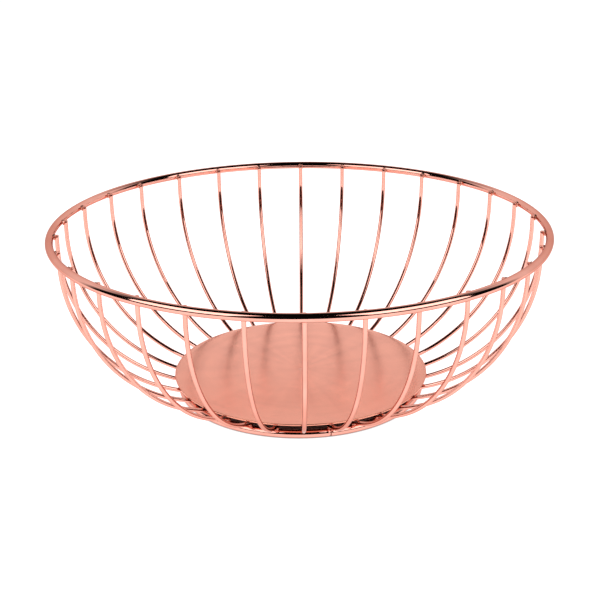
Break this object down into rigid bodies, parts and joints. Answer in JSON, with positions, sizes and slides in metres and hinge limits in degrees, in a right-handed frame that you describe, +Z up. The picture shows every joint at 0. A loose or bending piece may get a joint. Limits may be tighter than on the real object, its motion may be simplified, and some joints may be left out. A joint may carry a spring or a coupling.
{
  "type": "wire produce basket",
  "caption": "Round open wire bowl for fruit: a thick rim wire and base wire joined by slim curved ribs, with a flat round plate in the bottom.",
  "frame": {"origin": "on the floor, under the centre of the basket", "axes": "+Z up, out of the mouth of the bowl; +X and +Y level, with a rib standing on +Y and one on -Y"},
  "size_m": [0.28, 0.28, 0.0985],
  "materials": {
    "plated_wire": "polished rose-gold plating on steel wire",
    "brushed_plate": "satin brushed rose-gold plating on steel sheet"
  },
  "bodies": {
    "root": {"rim_ring": "plated_wire", "base_ring": "plated_wire", "rib_01": "plated_wire", "rib_02": "plated_wire", "rib_03": "plated_wire", "rib_04": "plated_wire", "rib_05": "plated_wire", "rib_06": "plated_wire", "rib_07": "plated_wire", "rib_08": "plated_wire", "rib_09": "plated_wire", "rib_10": "plated_wire", "rib_11": "plated_wire", "rib_12": "plated_wire", "rib_13": "plated_wire", "rib_14": "plated_wire", "rib_15": "plated_wire", "rib_16": "plated_wire", "rib_17": "plated_wire", "rib_18": "plated_wire", "rib_19": "plated_wire", "rib_20": "plated_wire", "rib_21": "plated_wire", "rib_22": "plated_wire", "rib_23": "plated_wire", "rib_24": "plated_wire", "rib_25": "plated_wire", "rib_26": "plated_wire", "rib_27": "plated_wire", "rib_28": "plated_wire", "rib_29": "plated_wire", "rib_30": "plated_wire", "base_plate": "brushed_plate"}
  },
  "joints": []
}
